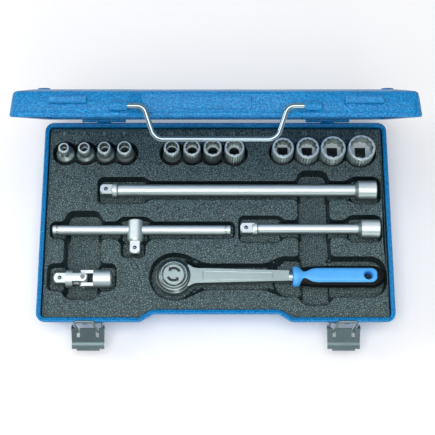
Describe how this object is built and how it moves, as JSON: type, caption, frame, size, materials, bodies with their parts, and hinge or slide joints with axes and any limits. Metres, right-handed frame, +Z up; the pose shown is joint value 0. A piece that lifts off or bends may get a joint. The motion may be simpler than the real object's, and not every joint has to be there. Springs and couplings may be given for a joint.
{
  "type": "socket wrench set in case",
  "caption": "Hinged pressed steel case with wire handle and draw latches, holding drive sockets, bars, universal joint and reversible ratchet in a moulded tray.",
  "frame": {"origin": "middle of the underside of the case's base", "axes": "+X along the case to the user's right, +Y from the front with the latches to the hinges, +Z up"},
  "size_m": [0.314, 0.2298, 0.2188],
  "materials": {
    "case_paint": "hammer textured enamel",
    "tray_plastic": "vacuum formed sheet with a leather grain",
    "satin_chrome": "satin chrome plate",
    "bright_chrome": "polished",
    "zinc_plate": "zinc plated sheet steel",
    "steel": "hardened steel, oiled",
    "grip_blue": "satin hard plastic",
    "grip_black": "soft matt elastomer"
  },
  "bodies": {
    "case": {"base_shell": "case_paint", "hinge_leaves_base": "case_paint", "hinge_pins": "zinc_plate", "latch_brackets": "zinc_plate", "latch_rivets": "zinc_plate", "latch_pins": "zinc_plate", "tray": "tray_plastic"},
    "lid": {"lid_shell": "case_paint", "hinge_leaves_lid": "case_paint", "latch_keepers": "case_paint", "handle_lugs": "case_paint"},
    "handle": {"carry_handle": "bright_chrome"},
    "left_lever": {"latch_lever_left": "zinc_plate"},
    "right_lever": {"latch_lever_right": "zinc_plate"},
    "left_loop": {"latch_loop_left": "zinc_plate"},
    "right_loop": {"latch_loop_right": "zinc_plate"},
    "socket_06": {"socket_06": "satin_chrome"},
    "socket_07": {"socket_07": "satin_chrome"},
    "socket_08": {"socket_08": "satin_chrome"},
    "socket_09": {"socket_09": "satin_chrome"},
    "socket_10": {"socket_10": "satin_chrome"},
    "socket_11": {"socket_11": "satin_chrome"},
    "socket_12": {"socket_12": "satin_chrome"},
    "socket_13": {"socket_13": "satin_chrome"},
    "socket_14": {"socket_14": "satin_chrome"},
    "socket_15": {"socket_15": "satin_chrome"},
    "socket_17": {"socket_17": "satin_chrome"},
    "socket_19": {"socket_19": "satin_chrome"},
    "long_bar": {"extension_long": "satin_chrome", "extension_long_spring": "steel"},
    "long_bar_ball": {"extension_long_ball": "bright_chrome"},
    "short_bar": {"extension_short": "satin_chrome", "extension_short_spring": "steel"},
    "short_bar_ball": {"extension_short_ball": "bright_chrome"},
    "sliding_rod": {"tbar_rod": "satin_chrome"},
    "sliding_head": {"tbar_head": "satin_chrome", "tbar_spring": "steel"},
    "sliding_head_ball": {"tbar_ball": "bright_chrome"},
    "joint_socket": {"joint_socket_half": "satin_chrome"},
    "joint_middle": {"joint_cross": "steel", "joint_pin_long": "steel", "joint_pin_short": "steel"},
    "joint_drive": {"joint_drive_half": "satin_chrome", "joint_spring": "steel"},
    "joint_drive_ball": {"joint_ball": "bright_chrome"},
    "ratchet": {"ratchet_body": "satin_chrome", "ratchet_pawl_pin": "steel", "ratchet_retaining_ring": "steel", "ratchet_grip_core": "grip_blue", "ratchet_grip_sleeve": "grip_black"},
    "gear": {"ratchet_gear": "satin_chrome", "ratchet_gear_spring": "steel"},
    "gear_ball": {"ratchet_gear_ball": "bright_chrome"},
    "pawl": {"ratchet_pawl": "steel"},
    "selector": {"ratchet_selector": "bright_chrome"}
  },
  "joints": [
    {"name": "lid_hinge", "type": "hinge", "parent": "case", "child": "lid", "pos_m": [0, 0.0964, 0.034], "axis": [-1, 0, 0], "range_deg": [-67, 38]},
    {"name": "handle_swing", "type": "hinge", "parent": "lid", "child": "handle", "pos_m": [0, 0.02867, 0.21557], "axis": [-1, 0, 0], "range_deg": [0, 110]},
    {"name": "left_lever_hinge", "type": "hinge", "parent": "case", "child": "left_lever", "pos_m": [-0.112, -0.0974, 0.023], "axis": [-1, 0, 0], "range_deg": [-55, 50]},
    {"name": "left_loop_hinge", "type": "hinge", "parent": "left_lever", "child": "left_loop", "pos_m": [-0.112, -0.10032, 0.02027], "axis": [-1, 0, 0], "range_deg": [-50, 54.5]},
    {"name": "right_lever_hinge", "type": "hinge", "parent": "case", "child": "right_lever", "pos_m": [0.112, -0.0974, 0.023], "axis": [-1, 0, 0], "range_deg": [-55, 50]},
    {"name": "right_loop_hinge", "type": "hinge", "parent": "right_lever", "child": "right_loop", "pos_m": [0.112, -0.10032, 0.02027], "axis": [-1, 0, 0], "range_deg": [-50, 54.5]},
    {"name": "socket_06_lift", "type": "slide", "parent": "case", "child": "socket_06", "axis": [0, 0, 1], "range_m": [0, 0.045]},
    {"name": "socket_07_lift", "type": "slide", "parent": "case", "child": "socket_07", "axis": [0, 0, 1], "range_m": [0, 0.045]},
    {"name": "socket_08_lift", "type": "slide", "parent": "case", "child": "socket_08", "axis": [0, 0, 1], "range_m": [0, 0.045]},
    {"name": "socket_09_lift", "type": "slide", "parent": "case", "child": "socket_09", "axis": [0, 0, 1], "range_m": [0, 0.045]},
    {"name": "socket_10_lift", "type": "slide", "parent": "case", "child": "socket_10", "axis": [0, 0, 1], "range_m": [0, 0.045]},
    {"name": "socket_11_lift", "type": "slide", "parent": "case", "child": "socket_11", "axis": [0, 0, 1], "range_m": [0, 0.045]},
    {"name": "socket_12_lift", "type": "slide", "parent": "case", "child": "socket_12", "axis": [0, 0, 1], "range_m": [0, 0.045]},
    {"name": "socket_13_lift", "type": "slide", "parent": "case", "child": "socket_13", "axis": [0, 0, 1], "range_m": [0, 0.045]},
    {"name": "socket_14_lift", "type": "slide", "parent": "case", "child": "socket_14", "axis": [0, 0, 1], "range_m": [0, 0.045]},
    {"name": "socket_15_lift", "type": "slide", "parent": "case", "child": "socket_15", "axis": [0, 0, 1], "range_m": [0, 0.045]},
    {"name": "socket_17_lift", "type": "slide", "parent": "case", "child": "socket_17", "axis": [0, 0, 1], "range_m": [0, 0.045]},
    {"name": "socket_19_lift", "type": "slide", "parent": "case", "child": "socket_19", "axis": [0, 0, 1], "range_m": [0, 0.045]},
    {"name": "long_bar_lift", "type": "slide", "parent": "case", "child": "long_bar", "axis": [0, 0, 1], "range_m": [0, 0.07]},
    {"name": "short_bar_lift", "type": "slide", "parent": "case", "child": "short_bar", "axis": [0, 0, 1], "range_m": [0, 0.06]},
    {"name": "sliding_rod_lift", "type": "slide", "parent": "case", "child": "sliding_rod", "axis": [0, 0, 1], "range_m": [0, 0.12]},
    {"name": "sliding_head_slide", "type": "slide", "parent": "sliding_rod", "child": "sliding_head", "axis": [-1, 0, 0], "range_m": [0, 0.06]},
    {"name": "universal_joint_lift", "type": "slide", "parent": "case", "child": "joint_socket", "axis": [0, 0, 1], "range_m": [0, 0.07]},
    {"name": "universal_joint_tilt", "type": "hinge", "parent": "joint_socket", "child": "joint_middle", "pos_m": [-0.117, -0.0543, 0.029], "axis": [0, 1, 0], "range_deg": [0, 32]},
    {"name": "universal_joint_swing", "type": "hinge", "parent": "joint_middle", "child": "joint_drive", "pos_m": [-0.117, -0.0543, 0.029], "axis": [0, 0, -1], "range_deg": [0, 32]},
    {"name": "ratchet_lift", "type": "slide", "parent": "case", "child": "ratchet", "axis": [0, 0, 1], "range_m": [0, 0.08]},
    {"name": "ratchet_gear_spin", "type": "hinge", "parent": "ratchet", "child": "gear", "pos_m": [-0.037, -0.052, 0.022], "axis": [0, 0, 1], "continuous": true},
    {"name": "ratchet_selector_turn", "type": "hinge", "parent": "ratchet", "child": "selector", "pos_m": [-0.037, -0.052, 0.035], "axis": [0, 0, 1], "range_deg": [-60, 0]},
    {"name": "ratchet_pawl_rock", "type": "hinge", "parent": "ratchet", "child": "pawl", "pos_m": [-0.023, -0.052, 0.028], "axis": [0, 0, 1], "range_deg": [-8, 0]},
    {"name": "long_bar_ball_press", "type": "slide", "parent": "long_bar", "child": "long_bar_ball", "axis": [0, 0, -1], "range_m": [0, 0.0006], "stiffness_N_per_m": 1500, "springref_m": -0.0005},
    {"name": "short_bar_ball_press", "type": "slide", "parent": "short_bar", "child": "short_bar_ball", "axis": [0, 0, -1], "range_m": [0, 0.0006], "stiffness_N_per_m": 1500, "springref_m": -0.0005},
    {"name": "sliding_head_ball_press", "type": "slide", "parent": "sliding_head", "child": "sliding_head_ball", "axis": [0, 0, -1], "range_m": [0, 0.0006], "stiffness_N_per_m": 1500, "springref_m": -0.0005},
    {"name": "universal_joint_ball_press", "type": "slide", "parent": "joint_drive", "child": "joint_drive_ball", "axis": [0, 0, -1], "range_m": [0, 0.0006], "stiffness_N_per_m": 1500, "springref_m": -0.0005},
    {"name": "gear_ball_press", "type": "slide", "parent": "gear", "child": "gear_ball", "axis": [-0.7071, 0.7071, 0], "range_m": [0, 0.0006], "stiffness_N_per_m": 1500, "springref_m": -0.0005}
  ],
  "couplings": [
    {"joint": "left_loop_hinge", "follows": "left_lever_hinge", "ratio": -0.98182},
    {"joint": "right_loop_hinge", "follows": "right_lever_hinge", "ratio": -0.98182},
    {"joint": "sliding_head_slide", "follows": "sliding_rod_lift", "ratio": 0.5},
    {"joint": "universal_joint_tilt", "follows": "universal_joint_lift", "rad_per_m": 7.9779},
    {"joint": "universal_joint_swing", "follows": "universal_joint_lift", "rad_per_m": 7.9779},
    {"joint": "ratchet_pawl_rock", "follows": "ratchet_selector_turn", "ratio": 0.13332}
  ]
}
